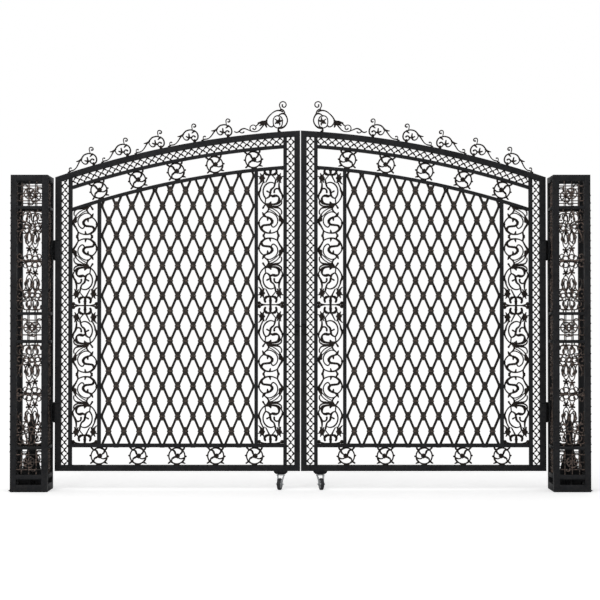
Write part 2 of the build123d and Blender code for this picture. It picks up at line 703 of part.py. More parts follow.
# ---------------------------------------------------------------- write every piece
both_sides("post_frame", post_frame())
panel = post_panel()
for side, turn in (("front", 0), ("inner", 90), ("back", 180), ("outer", 270)):
    both_sides(f"post_{side}_panel", Rot(0, 0, turn) * panel)
both_sides("post_ground_anchor", ground_anchor())
both_sides("hinge_brackets", hinge_brackets())

hinge_stile = under_arch(band_radius, leaf_start, leaf_bottom, leaf_start + stile_width)
meeting_stile = under_arch(band_radius, leaf_end - stile_width, leaf_bottom, leaf_end)
both_sides("hinge_stile", plate(hinge_stile, leaf_thickness, leaf_middle))
both_sides("meeting_stile", plate(meeting_stile, leaf_thickness, leaf_middle))
bottom_rail = flat(leaf_start + stile_width, leaf_bottom, leaf_end - stile_width, rail_top)
both_sides("bottom_rail", plate(bottom_rail, leaf_thickness, leaf_middle))
arch_rail = under_arch(arch_radius, leaf_start, leaf_bottom, leaf_end) - disc(band_radius)
both_sides("arch_rail", plate(arch_rail, leaf_thickness, leaf_middle))

uprights = []
for left in (inner_left, inner_right - inner_stile_width):
    face = under_arch(band_radius, left, rail_top, left + inner_stile_width)
    uprights.append(plate(face, inner_depth, leaf_middle))
for left in (upright_left, upright_right - upright_width):
    face = under_arch(field_radius, left, cross_top, left + upright_width)
    uprights.append(plate(face, inner_depth, leaf_middle))
both_sides("inner_uprights", Compound(children=uprights))

upper_bar = under_arch(inner_radius, frieze_left, rail_top, frieze_right) - disc(frieze_radius)
lower_bar = under_arch(lower_rail_radius, frieze_left, rail_top, frieze_right) - disc(field_radius)
both_sides("upper_arch_bar", plate(upper_bar, inner_depth, leaf_middle))
both_sides("lower_arch_bar", plate(lower_bar, inner_depth, leaf_middle))
cross_rail = flat(frieze_left, frieze_top, frieze_right, cross_top)
both_sides("cross_rail", plate(cross_rail, inner_depth, leaf_middle))

both_sides("circle_bands", circle_bands())
both_sides("lattice", lattice())
both_sides("hinge_scroll_panel", scroll_panel(frieze_left, False))
both_sides("meeting_scroll_panel", scroll_panel(upright_right, True))
both_sides("lower_rosettes", lower_rosettes())
both_sides("upper_rosettes", upper_rosettes())
both_sides("crest_scrolls", crest())
both_sides("hinge_straps", hinge_straps())
both_sides("lock", lock())
both_sides("castor_mount", castor_mount())
both_sides("castor_fork", castor_fork())
both_sides("castor_wheel", castor_wheel())
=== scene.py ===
# %% [markdown]
# # Double-leaf ornamental driveway gate
# The gate's solids already exist as a fixed frame: posts, leaf frames, hinges and castors, all at real
# size. This scene dresses them. Each casting gets a round-backed mesh in place of its flat plate, each
# tube keeps its solid and gets paint, and a camera and soft light show the whole.
#
# A drawing can be kept in millimetres, which are easy to read, and turned into metres only when a mesh
# is made. All the castings here are drawn on the gate's front: x runs to the right, z up, y through it.
# Most sizes are read off the boxes of the solids, so that what is drawn fits what is already there.

# %% Load the frame
import json
import math

import bmesh
import bpy
import numpy as np
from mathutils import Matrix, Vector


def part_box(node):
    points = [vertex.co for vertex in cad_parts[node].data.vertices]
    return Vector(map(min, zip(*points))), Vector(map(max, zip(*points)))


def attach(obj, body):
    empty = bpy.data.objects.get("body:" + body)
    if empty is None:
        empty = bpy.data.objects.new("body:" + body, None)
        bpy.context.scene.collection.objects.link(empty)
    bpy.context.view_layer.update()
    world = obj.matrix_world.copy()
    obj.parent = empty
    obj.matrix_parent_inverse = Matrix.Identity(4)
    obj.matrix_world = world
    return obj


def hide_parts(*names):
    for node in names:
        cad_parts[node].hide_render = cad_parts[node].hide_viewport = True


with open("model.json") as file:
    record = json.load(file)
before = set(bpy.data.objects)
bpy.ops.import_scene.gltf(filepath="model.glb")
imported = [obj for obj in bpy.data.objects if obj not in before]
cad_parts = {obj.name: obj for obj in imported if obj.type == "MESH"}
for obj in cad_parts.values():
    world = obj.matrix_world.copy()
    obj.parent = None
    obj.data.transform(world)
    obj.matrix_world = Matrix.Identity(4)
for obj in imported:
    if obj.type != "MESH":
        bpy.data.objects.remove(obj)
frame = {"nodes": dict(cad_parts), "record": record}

scene = bpy.context.scene
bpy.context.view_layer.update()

# %% Sizes of the gate, mm
post_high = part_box("left_post_frame")[1]
half_post = 1000 * post_high[1]
corner_tube = 40
post_height = 1000 * post_high[2]
post_base = 6
far_post = 1000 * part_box("right_post_frame")[0][0] + half_post
middle = far_post / 2
leaf_low, leaf_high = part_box("left_meeting_stile")
leaf_front, leaf_back = 1000 * leaf_low[1], 1000 * leaf_high[1]
leaf_middle = (leaf_front + leaf_back) / 2
leaf_start = 1000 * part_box("left_hinge_stile")[0][0]
leaf_end = 1000 * leaf_high[0]
rail_top = 1000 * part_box("left_bottom_rail")[1][2]
frieze_top, cross_top = (1000 * corner[2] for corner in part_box("left_cross_rail"))
stile_width = leaf_end - 1000 * leaf_low[0]
frieze_left, frieze_right = (1000 * corner[0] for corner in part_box("left_cross_rail"))
band_width = 50
inner_stile = 25
inner_left = frieze_left - inner_stile
inner_right = frieze_right + inner_stile
scroll_width = 173
upright_width = 24
field_left = frieze_left + scroll_width + upright_width
field_right = frieze_right - scroll_width - upright_width

arch_rail, arch_band, arch_bar, arch_frieze = 38, 53, 22, 121
arch_radius = 6205
band_radius = arch_radius - arch_rail
inner_radius = band_radius - arch_band
frieze_radius = inner_radius - arch_bar
lower_rail_radius = frieze_radius - arch_frieze
field_radius = lower_rail_radius - arch_bar
arch_x = middle + 314
arch_z = -3743
print("middle of the gate, mm:", round(middle, 1), " field:", round(field_left), round(field_right))


# %% [markdown]
# ## A piece is a list of points and a list of faces
# A repeated motif is easiest to handle as bare numbers: it is drawn once about its own middle, then
# copied, moved and turned as arrays, and only the sum becomes a Blender object. One object for each
# casting keeps the scene light, and the right-hand half is the same numbers mirrored.

# %% Joining, moving and mirroring
def joined(parts):
    points = []
    faces = []
    count = 0
    for part_points, part_faces in parts:
        points.append(part_points)
        faces += [[index + count for index in face] for face in part_faces]
        count += len(part_points)
    return np.concatenate(points), faces


def moved(part, x=0.0, y=0.0, z=0.0):
    return part[0] + np.array((x, y, z)), part[1]


def tilted(part, angle):
    """Turned on the front drawing, anticlockwise, in radians."""
    x, y, z = part[0].T
    cosine, sine = math.cos(angle), math.sin(angle)
    return np.stack((x * cosine - z * sine, y, x * sine + z * cosine), axis=1), part[1]


def turned(part, angle):
    """Turned about the vertical, in radians."""
    x, y, z = part[0].T
    cosine, sine = math.cos(angle), math.sin(angle)
    return np.stack((x * cosine - y * sine, x * sine + y * cosine, z), axis=1), part[1]


def flipped(part, axis, about=0.0):
    points = part[0].copy()
    points[:, axis] = 2 * about - points[:, axis]
    return points, part[1]


def on_side(part, side):
    """A left-hand piece, mirrored about the meeting line if the side is the right one."""
    return flipped(part, 0, middle) if side == "right" else part


def cut_to(part, inside):
    """Only the faces whose points are all inside, by a test on the x, y and z arrays."""
    points, faces = part
    good = inside(*points.T)
    kept = [face for face in faces if all(good[index] for index in face)]
    used = sorted({index for face in kept for index in face})
    renumbered = {old: new for new, old in enumerate(used)}
    return points[used], [[renumbered[index] for index in face] for face in kept]


def arch_height(radius, x):
    return arch_z + np.sqrt(radius**2 - (arch_x - x) ** 2)


def on_arch(part, radius, x):
    """Stood square on an arch of the given radius."""
    turn = math.asin((arch_x - x) / radius)
    return moved(tilted(part, turn), x, 0, arch_height(radius, x))


print("top of the arch at the meeting line, mm:", round(float(arch_height(arch_radius, middle))))

# %% Making the Blender objects
def make_piece(name, part, body, material, replaces=()):
    mesh = bpy.data.meshes.new(name)
    mesh.from_pydata((part[0] / 1000).tolist(), [], part[1])
    shape = bmesh.new()
    shape.from_mesh(mesh)
    bmesh.ops.recalc_face_normals(shape, faces=shape.faces)
    shape.to_mesh(mesh)
    shape.free()
    mesh.polygons.foreach_set("use_smooth", [True] * len(mesh.polygons))
    mesh.set_sharp_from_angle(angle=math.radians(38))
    piece = bpy.data.objects.new(name, mesh)
    scene.collection.objects.link(piece)
    piece.data.materials.append(material)
    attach(piece, body)
    if replaces:
        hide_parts(*replaces)
    return piece


def on_leaves(name, part, slot, material, *replaces, y=leaf_middle):
    """The same piece on the left leaf and, mirrored, on the right one."""
    part = moved(part, y=y)
    for side in ("left", "right"):
        nodes = [f"{side}_{node}" for node in replaces]
        make_piece(f"{side}_{name}", on_side(part, side), f"{side}_leaf", material, nodes)
    print(name, len(part[1]), "faces a side")


# %% [markdown]
# ## Painted steel
# Gate paint is a thin dark film over steel, so it shows three things: a faint orange-peel texture, a
# slow drift in tone and gloss, and lighter raised edges, partly rubbed bronze-brown and partly a painted
# highlight where the edges catch light. Noise at two scales gives the first two. A Bevel node rounds the
# shading of the tubes' square edges, which catches light as a real rolled edge does.
# Plain values stay on the shader's own sockets, and only what varies comes from nodes.

# %% Material parts
def new_material(name):
    material = bpy.data.materials.new(name)
    material.use_nodes = True
    return material, material.node_tree.nodes, material.node_tree.links


def noise(nodes, links, scale, detail=4.0):
    place = nodes.new("ShaderNodeTexCoord")
    texture = nodes.new("ShaderNodeTexNoise")
    texture.inputs["Scale"].default_value = scale
    texture.inputs["Detail"].default_value = detail
    links.new(place.outputs["Object"], texture.inputs["Vector"])
    return texture.outputs["Fac"]


def spread(nodes, links, value, low, high, low_out, high_out):
    """Remap a value from one range to another."""
    remap = nodes.new("ShaderNodeMapRange")
    remap.inputs["From Min"].default_value = low
    remap.inputs["From Max"].default_value = high
    remap.inputs["To Min"].default_value = low_out
    remap.inputs["To Max"].default_value = high_out
    links.new(value, remap.inputs["Value"])
    return remap.outputs["Result"]


def blend_colour(nodes, links, factor, first, second):
    mix = nodes.new("ShaderNodeMix")
    mix.data_type = "RGBA"
    for socket, colour in (("A", first), ("B", second)):
        target = next(item for item in mix.inputs if item.name == socket and item.type == "RGBA")
        if isinstance(colour, tuple):
            target.default_value = (*colour, 1)
        else:
            links.new(colour, target)
    links.new(factor, mix.inputs["Factor"])
    return next(item for item in mix.outputs if item.type == "RGBA")


def bumped(nodes, links, height, strength, distance, edge=0.0):
    bump = nodes.new("ShaderNodeBump")
    bump.inputs["Strength"].default_value = strength
    bump.inputs["Distance"].default_value = distance
    links.new(height, bump.inputs["Height"])
    if edge:
        bevel = nodes.new("ShaderNodeBevel")
        bevel.samples = 4
        bevel.inputs["Radius"].default_value = edge
        links.new(bevel.outputs["Normal"], bump.inputs["Normal"])
    return bump.outputs["Normal"]


# %% Paint for tubes, castings and fittings
def make_paint(name, dark, light, edge_wear_and_highlight, wear_and_highlight_share, gloss, edge):
    """A dark paint that drifts between two tones and shows a third on raised edges, partly rubbed
    bronze-brown and partly a painted highlight where the edges catch light.
    """
    material, nodes, links = new_material(name)
    shader = nodes["Principled BSDF"]
    shader.inputs["Specular IOR Level"].default_value = gloss
    drift = spread(nodes, links, noise(nodes, links, 9), 0.35, 0.65, 0, 1)
    tone = blend_colour(nodes, links, drift, dark, light)
    # Raised edges take the third tone: partly rubbed bronze-brown, partly a painted highlight where the edges
    # catch light.
    shape = nodes.new("ShaderNodeNewGeometry")
    raised = spread(nodes, links, shape.outputs["Pointiness"], 0.5, 0.56, 0, 1)
    patch = spread(nodes, links, noise(nodes, links, 70), 0.42, 0.62, 0, wear_and_highlight_share)
    both = nodes.new("ShaderNodeMath")
    both.operation = "MULTIPLY"
    links.new(raised, both.inputs[0])
    links.new(patch, both.inputs[1])
    colour = blend_colour(nodes, links, both.outputs["Value"], tone, edge_wear_and_highlight)
    links.new(colour, shader.inputs["Base Color"])
    rough = spread(nodes, links, noise(nodes, links, 26), 0.3, 0.7, 0.50, 0.66)
    links.new(rough, shader.inputs["Roughness"])
    peel = noise(nodes, links, 650, 2)
    links.new(bumped(nodes, links, peel, 0.12, 0.0006, edge), shader.inputs["Normal"])
    return material


# Each paint's third colour and its share give the raised-edge tone, partly rubbed bronze and partly painted
# highlight; on the post castings it is brightest and mostly painted highlight.
frame_paint = make_paint("frame_paint", (0.010, 0.0105, 0.012), (0.016, 0.017, 0.019),
                         (0.04, 0.036, 0.033), 0.25, 0.08, 0.0022)
casting_paint = make_paint("casting_paint", (0.006, 0.005, 0.005), (0.014, 0.011, 0.010),
                           (0.055, 0.042, 0.034), 0.6, 0.08, 0)
post_paint = make_paint("post_paint", (0.004, 0.004, 0.004), (0.010, 0.009, 0.009),
                        (0.14, 0.10, 0.082), 1.0, 0.3, 0)
lattice_paint = make_paint("lattice_paint", (0.010, 0.009, 0.008), (0.015, 0.013, 0.012),
                           (0.03, 0.025, 0.022), 0.4, 0.1, 0)
# The collar paint also colours the painted highlight strips on the hinge plates and the lock.
collar_and_highlight_paint = make_paint("collar_and_highlight_paint", (0.026, 0.023, 0.021), (0.042, 0.037, 0.033),
                          (0.11, 0.085, 0.07), 0.9, 0.08, 0)
fitting_paint = make_paint("fitting_paint", (0.004, 0.004, 0.005), (0.007, 0.007, 0.008),
                           (0.04, 0.04, 0.04), 0.3, 0.1, 0.001)
print("paints made")


# %% [markdown]
# ## Zinc and rubber
# The castor's pressed parts are zinc plated, and plating shows a fine spangle, small cells that differ a
# little in tone. Voronoi cells give it with one node. The tread is rubber, dull and a little dusty, so one
# noise drives its colour and its roughness together: where dust lies, it is both paler and duller.

# %% Zinc and rubber
def make_zinc():
    material, nodes, links = new_material("zinc")
    shader = nodes["Principled BSDF"]
    shader.inputs["Metallic"].default_value = 1.0
    cells = nodes.new("ShaderNodeTexVoronoi")
    cells.inputs["Scale"].default_value = 260
    place = nodes.new("ShaderNodeTexCoord")
    links.new(place.outputs["Object"], cells.inputs["Vector"])
    spangle = spread(nodes, links, cells.outputs["Distance"], 0, 0.6, 0, 1)
    colour = blend_colour(nodes, links, spangle, (0.22, 0.23, 0.24), (0.40, 0.41, 0.42))
    links.new(colour, shader.inputs["Base Color"])
    rough = spread(nodes, links, noise(nodes, links, 40), 0.3, 0.7, 0.28, 0.46)
    links.new(rough, shader.inputs["Roughness"])
    links.new(bumped(nodes, links, noise(nodes, links, 400), 0.1, 0.0004, 0.0008), shader.inputs["Normal"])
    return material


def make_rubber():
    material, nodes, links = new_material("rubber")
    shader = nodes["Principled BSDF"]
    shader.inputs["Specular IOR Level"].default_value = 0.3
    dust = spread(nodes, links, noise(nodes, links, 60), 0.4, 0.7, 0, 1)
    colour = blend_colour(nodes, links, dust, (0.014, 0.015, 0.016), (0.038, 0.039, 0.041))
    links.new(colour, shader.inputs["Base Color"])
    rough = spread(nodes, links, dust, 0, 1, 0.6, 0.85)
    links.new(rough, shader.inputs["Roughness"])
    links.new(bumped(nodes, links, noise(nodes, links, 900), 0.2, 0.0005), shader.inputs["Normal"])
    return material


zinc = make_zinc()
rubber = make_rubber()

finishes = {"frame_paint": frame_paint, "casting_paint": casting_paint, "black_fittings": fitting_paint,
            "zinc": zinc, "rubber": rubber}
for entry in frame["record"]["subparts"]:
    node = frame["nodes"][entry["node"]]
    node.data.materials.clear()
    node.data.materials.append(finishes[entry["material_slot"]])
print("finishes on", len(frame["nodes"]), "nodes")


# %% [markdown]
# ## Strokes
# Nearly all the cast ornament is one idea: a bar that swells and thins as it curls. A smooth curve runs
# through a few chosen points, and an oval section is carried along it. Where the bar grows wide it
# turns into a leaf, so the section gets a vein down its middle and the edge gets soft lobes. The ends
# are rounded off. A Blender curve with a bevel and point radii would give the bar, but not the leaf.

# %% A smooth line and its tube
def smooth_line(points, step):
    """Points about one step apart on a curve through all the given ones."""
    points = np.array(points, float)
    lengths = np.linalg.norm(np.diff(points, axis=0), axis=1)
    places = np.concatenate(([0], np.cumsum(lengths)))
    if len(points) == 2:
        slopes = np.repeat(np.diff(points, axis=0) / lengths[0], 2, axis=0)
    else:
        slopes = np.gradient(points, places, axis=0, edge_order=2)
    line = []
    for index, length in enumerate(lengths):
        count = max(2, round(length / step))
        for part in range(count):
            t = part / count
            line.append((2 * t**3 - 3 * t**2 + 1) * points[index]
                        + (t**3 - 2 * t**2 + t) * length * slopes[index]
                        + (3 * t**2 - 2 * t**3) * points[index + 1]
                        + (t**3 - t**2) * length * slopes[index + 1])
    line.append(points[-1])
    return np.array(line)


def tube_faces(ring_count, sides):
    faces = []
    for ring in range(ring_count - 1):
        for side in range(sides):
            following = (side + 1) % sides
            first = ring * sides
            faces.append([first + side, first + following, first + sides + following,
                          first + sides + side])
    faces.append(list(range(sides)))
    faces.append(list(range((ring_count - 1) * sides, ring_count * sides)))
    return faces


print("smooth line of 3 points:", len(smooth_line([(0, 0), (20, 10), (40, 0)], 7)), "points")

# %% Stroke
leaf_from, leaf_full = 11, 17
lobe_depth, lobe_length = 0.09, 2.1
vein_depth, vein_width = 0.5, 0.35
least_depth, depth_share, most_depth = 4, 0.6, 14
end_reach = (0.42, 0.28)
end_size = (0.3, 0.78)


def stroke(points, *widths, sides=12, step=7):
    """An oval bar along a smooth line, with its widths spread evenly from end to end."""
    line = smooth_line(points, step)
    lengths = np.linalg.norm(np.diff(line, axis=0), axis=1)
    arc = np.concatenate(([0], np.cumsum(lengths)))
    widths = widths if len(widths) > 1 else 2 * widths
    width = np.interp(arc / arc[-1], np.linspace(0, 1, len(widths)), widths)
    leaf = np.clip((width - leaf_from) / (leaf_full - leaf_from), 0, 1)
    width = width * (1 + lobe_depth * leaf * np.sin(arc / lobe_length))
    depth = np.minimum(least_depth + depth_share * width, most_depth)
    direction = np.gradient(line, arc, axis=0)
    direction /= np.linalg.norm(direction, axis=1)[:, None]
    first, last = direction[0], direction[-1]
    before = [line[0] - first * width[0] * reach for reach in end_reach]
    after = [line[-1] + last * width[-1] * reach for reach in reversed(end_reach)]
    line = np.concatenate((before, line, after))
    direction = np.concatenate(([first, first], direction, [last, last]))
    size = np.concatenate((end_size, np.ones(len(arc)), end_size[::-1]))
    width, depth, leaf = (np.pad(value, 2, mode="edge") for value in (width, depth, leaf))
    angle = np.arange(sides) * 2 * math.pi / sides
    across, proud = np.cos(angle), np.sin(angle)
    vein = 1 - vein_depth * leaf[:, None] * np.exp(-((across / vein_width) ** 2))
    offset = across[None, :] * (width * size / 2)[:, None]
    x = line[:, 0:1] - direction[:, 1:2] * offset
    z = line[:, 1:2] + direction[:, 0:1] * offset
    y = proud[None, :] * vein * (depth * size / 2)[:, None]
    return np.stack((x, y, z), axis=2).reshape(-1, 3), tube_faces(len(line), sides)


def circle(x, z, radius, width, **shape):
    turns = np.linspace(0, 2 * math.pi, 17)
    points = [(x + radius * math.cos(turn), z + radius * math.sin(turn)) for turn in turns]
    return stroke(points, width, **shape)


print("stroke of 4 points:", len(stroke([(0, 0), (20, 10), (40, 0), (50, 30)], 8, 14)[1]), "faces")


# %% [markdown]
# ## Knobs and flowers
# Where strokes end or meet, a casting has a ball or a flower. A ball could be one of Blender's own, but
# as rings of points it joins the strokes in one mesh and can be flattened to a rivet's head. A flower is
# the same stack of rings with its edge drawn in between the petals.

# %% Knobs and flowers
def knob(x, z, radius, proud=1.0):
    """Ball, flattened or drawn out towards the viewer."""
    sides, rings = 10, 7
    points = []
    for ring in range(rings):
        height = math.pi * (ring + 0.5) / rings
        for side in range(sides):
            turn = 2 * math.pi * side / sides
            spread_out = radius * math.sin(height)
            points.append((x + spread_out * math.cos(turn), -radius * proud * math.cos(height),
                           z + spread_out * math.sin(turn)))
    return np.array(points), tube_faces(rings, sides)


def flower(x, z, radius, petals):
    """Cupped petals on both faces round a button."""
    sides = petals * 8
    layers = ((0.30, -4.5), (0.55, -6.5), (0.86, -5.5), (1.0, -1.8), (1.0, 1.8), (0.86, 5.5), (0.55, 6.5),
              (0.30, 4.5))
    points = []
    for reach, height in layers:
        for side in range(sides):
            turn = 2 * math.pi * side / sides
            lobe = abs(math.cos(petals * turn / 2))
            out = radius * reach * (1 - 0.24 * reach * (1 - lobe) ** 2)
            rise = height * (0.62 + 0.38 * lobe)
            points.append((x + out * math.cos(turn), rise, z + out * math.sin(turn)))
    petals_part = np.array(points), tube_faces(len(layers), sides)
    button = radius * 0.26
    button_height = 6.5
    return joined([petals_part, knob(x, z, button, button_height / button)])


print("flower of 6 petals:", len(flower(0, 0, 21, 6)[1]), "faces")


# %% [markdown]
# ## Scroll panels
# Beside each lattice stands a column of cast scrollwork, a chain of four modules, every second one upside
# down. One module is drawn stroke by stroke: two stems rise from a pair of flowers, cross, and end in
# volutes with acanthus leaves. It could be sculpted as a low relief; from a few dozen strokes it stays
# light and still reads as leaves from close by. The founder's castings are welded in by hand, so each
# sits a few millimetres above its even place.

# %% One module of scrollwork: its two volutes and their crossing
module_height = 471


def upper_volute():
    return [
        stroke([(136, 341), (154, 357), (167, 385), (160, 414), (145, 435), (124, 451), (92, 457),
                (62, 452), (40, 440)], 10, 10, 17, 10, 9),
        stroke([(92, 455), (88, 435)], 18.5, 7),
        stroke([(40, 441), (23, 409), (8, 383), (8, 372), (17, 348), (24, 325)], 10, 14, 20.5, 8),
        stroke([(19, 368), (22, 347), (25, 325)], 26.5, 18.5, 8),
        stroke([(24, 330), (42, 308), (66, 292), (96, 277)], 8),
        stroke([(24, 352), (45, 330), (65, 312), (92, 296)], 7),
        stroke([(150, 430), (141, 407), (112, 401), (86, 396), (75, 378), (88, 357), (108, 348),
                (136, 341)], 19.5, 15, 16, 20.5, 14, 10),
        stroke([(108, 370), (105, 350)], 9, 20.5),
        stroke([(84, 398), (70, 416), (48, 402), (38, 368), (46, 343), (72, 319), (98, 311),
                (124, 322), (136, 341)], 10, 9, 9, 8, 9),
        stroke([(122, 342), (134, 330), (142, 316)], 11.5, 19.5, 9),
        stroke([(124, 320), (106, 304), (99, 290), (98, 275)], 9, 11.5, 16),
    ]


def crossing():
    return [
        stroke([(82, 286), (98, 270), (120, 257)], 11.5, 34.5, 14),
        stroke([(100, 285), (93, 264), (85, 243)], 16, 36.5, 10),
        stroke([(13, 326), (12, 306), (22, 290), (38, 282), (58, 279), (92, 275)], 9, 10, 17, 9),
        stroke([(93, 268), (65, 272), (34, 271), (14, 257), (11, 240)], 8, 9, 11.5, 9),
        stroke([(88, 260), (60, 262), (34, 256), (17, 238), (5, 209), (9, 192), (22, 169), (28, 147),
                (28, 108)], 8, 9, 10, 17, 10),
        stroke([(84, 256), (56, 257), (34, 247), (28, 228), (34, 207), (54, 200), (72, 204),
                (90, 195)], 8, 14, 21.5, 11.5, 21.5, 11.5),
        stroke([(100, 271), (124, 257), (140, 244), (156, 222), (166, 196), (168, 183), (159, 165),
                (154, 143), (144, 122), (134, 102)], 15, 10, 10, 17, 10, 10),
        stroke([(141, 97), (168, 121)], 11.5, 8),
        stroke([(124, 259), (123, 240), (120, 219)], 9),
        stroke([(122, 260), (131, 272), (139, 285)], 9, 14),
    ]


def lower_volute():
    return [
        stroke([(120, 219), (134, 196), (138, 166), (129, 137), (108, 116), (85, 109),
                (62, 116)], 11.5, 10, 11.5, 8),
        stroke([(120, 219), (105, 213), (94, 203), (90, 186), (83, 158), (65, 142), (57, 120),
                (49, 92), (36, 84)], 9, 15, 16, 11.5, 14, 10),
        stroke([(28, 157), (44, 151), (57, 157), (62, 178)], 12.5, 11.5, 14),
        stroke([(92, 180), (112, 169)], 10, 12.5),
    ]


# %% The module's foot, its flowers and its ties to the stiles
def foot():
    return [
        stroke([(52, 92), (66, 72), (88, 52)], 8),
        stroke([(120, 108), (104, 78), (93, 54)], 9, 10, 14),
        stroke([(89, 58), (88, 36), (88, -2)], 14, 21.5, 14),
        stroke([(88, 53), (64, 55), (48, 43), (50, 20)], 10, 20.5, 15),
        stroke([(88, 53), (114, 54), (127, 41), (123, 20)], 10, 20.5, 15),
        stroke([(0, 14), (30, 4), (88, 2), (144, 4), (scroll_width, 14)], 15, 6, 6, 15),
        stroke([(40, 440), (38, 456), (31, 478)], 11.5, 16),
        stroke([(122, 450), (130, 462), (136, 478)], 10, 15),
    ]


def flowers():
    return [
        stroke([(16, 112), (27, 80), (18, 47)], 7, 23, 7),
        stroke([(43, 110), (31, 80), (42, 50)], 7, 23, 7),
        stroke([(129, 112), (142, 80), (132, 47)], 7, 23, 7),
        stroke([(160, 110), (147, 80), (158, 48)], 7, 23, 7),
        stroke([(141, 80), (scroll_width - 3, 68)], 14, 8),
        stroke([(31, 80), (3, 68)], 14, 8),
        flower(29, 80, 21, 6),
        flower(145, 80, 21, 6),
    ]


def ties():
    far = scroll_width
    return [knob(5, 374, 10, 0.7), knob(5, 200, 10, 0.7), knob(far - 5, 387, 10, 0.7),
            knob(far - 5, 184, 10, 0.7), knob(8, 12, 13, 0.6), knob(far - 8, 12, 13, 0.6)]


module = joined([*upper_volute(), *crossing(), *lower_volute(), *foot(), *flowers(), *ties()])
print("scroll module:", len(module[1]), "faces,", module_height, "mm high")


# %% Stacking the modules
hinge_lifts = (0, 1, 1, 3)
meeting_lifts = (1, 7, 6, 12)
scroll_tuck = 8


def scroll_panel(module, left, lifts):
    """Modules stacked on the cross rail, and cut off where they run into the bar above."""
    stack = []
    for index, lift in enumerate(lifts):
        start = cross_top + index * module_height + lift
        if index % 2 == 0:
            stack.append(moved(module, left, 0, start))
        else:
            stack.append(moved(flipped(module, 2), left, 0, start + module_height))
    return cut_to(joined(stack), lambda x, y, z: z < arch_height(field_radius, x) + scroll_tuck)


hinge_scroll = scroll_panel(module, frieze_left, hinge_lifts)
mirrored = flipped(module, 0, scroll_width / 2)
meeting_scroll = scroll_panel(mirrored, frieze_right - scroll_width, meeting_lifts)
on_leaves("hinge_scroll_casting", hinge_scroll, "casting_paint", casting_paint, "hinge_scroll_panel")
on_leaves("meeting_scroll_casting", meeting_scroll, "casting_paint", casting_paint, "meeting_scroll_panel")


# %% [markdown]
# ## Rosettes
# Under the arch and above the bottom rail runs a row of rings, each with bent arms that meet in a
# knotted flower. Cast rings like these are welded between the rails at top and bottom.

# %% Rosette castings
def rosette():
    return joined([
        circle(-3, 1.5, 54.5, 10),
        stroke([(1, 56), (19, 52), (35, 40)], 11.5, 15, 13.5),
        stroke([(51, -9), (46, -25), (34, -39)], 10.5, 13.5, 12.5),
        stroke([(-24, -49), (-38, -40), (-50, -27)], 10.5, 13.5, 10.5),
        stroke([(-18, 58), (10, 58)], 8),
        stroke([(-20, -57), (12, -57)], 10.5),
        stroke([(-56, 58), (-48, 50), (-39, 42), (-29, 42), (-19, 33), (-13, 17),
                (-4, 6)], 12.5, 12.5, 15, 12.5),
        stroke([(48, 60), (45, 49), (34, 38), (32, 27), (23, 17), (10, 8)], 13.5, 13.5, 13.5, 8),
        stroke([(-60, -48), (-46, -37), (-37, -25), (-36, -18), (-25, -11), (-10, -2)], 11.5, 12.5,
               10.5, 15, 12.5),
        stroke([(36, -42), (53, -50)], 15, 8),
        stroke([(50, -11), (37, -16), (21, -18), (8, -9)], 13.5, 10.5, 9, 10.5),
        knob(-64, 4, 6.5),
        knob(59, -2, 7),
        flower(1, 1, 18, 5),
    ])


rosette_count = 5
lower_first, lower_pitch = 311, 265.5
upper_first, upper_pitch = 320, 264.5
motif = rosette()
frieze_middle = (rail_top + frieze_top) / 2
lower_row = [moved(motif, middle - lower_first - lower_pitch * n, 0, frieze_middle)
             for n in range(rosette_count)]
upper_radius = (frieze_radius + lower_rail_radius) / 2
upper_row = [on_arch(motif, upper_radius, middle - upper_first - upper_pitch * n)
             for n in range(rosette_count)]
on_leaves("lower_rosette_castings", joined(lower_row), "casting_paint", casting_paint, "lower_rosettes")
on_leaves("upper_rosette_castings", joined(upper_row), "casting_paint", casting_paint, "upper_rosettes")


# %% [markdown]
# ## Cresting
# Small running scrolls climb the arch towards the meeting line, where a taller scroll ends each leaf.

# %% Small and large crest scrolls
def crest_scroll():
    return joined([
        stroke([(-183, 2), (-173, 5), (-163, 8), (-144, 8), (-130, 13), (-114, 25), (-100, 40),
                (-89, 52), (-77, 62), (-63, 75), (-46, 87), (-28, 90), (-8, 88), (8, 79), (22, 68),
                (29, 51), (29, 35), (23, 21), (12, 13), (1, 11)], 10.5, 7.5, 9.5, 10.5, 9.5, 10.5, 11.5),
        stroke([(1, 15), (0, 1)], 19, 21),
        stroke([(-170, 5), (-171, 18), (-167, 28), (-156, 27)], 7.5, 6.5, 9.5),
        stroke([(-108, 59), (-92, 58), (-77, 61), (-67, 68)], 6.5, 11.5, 16, 11.5),
        stroke([(-2, 86), (-2, 101), (-1, 115), (4, 124), (12, 126), (22, 121), (26, 112), (22, 105),
                (13, 105)], 6.5, 7.5, 8.5, 10.5),
        stroke([(-8, 66), (1, 72), (12, 78)], 8.5, 12.5, 15),
        stroke([(-73, 60), (-72, 47), (-66, 34), (-55, 25), (-43, 25), (-36, 32), (-31, 39)], 7.5, 7.5,
               9.5, 14),
        stroke([(-51, 49), (-40, 42), (-32, 38), (-12, 39)], 8.5, 14, 10.5),
        stroke([(-30, 65), (-31, 38)], 9.5, 14),
        stroke([(-2, 11), (-13, 21), (-17, 32), (-11, 42), (-2, 46), (9, 37)], 8.5, 9.5, 9.5, 12.5),
        knob(-156, 26, 5.5), knob(13, 106, 6), knob(9, 38, 6.5), knob(-31, 39, 8, 0.8),
    ])


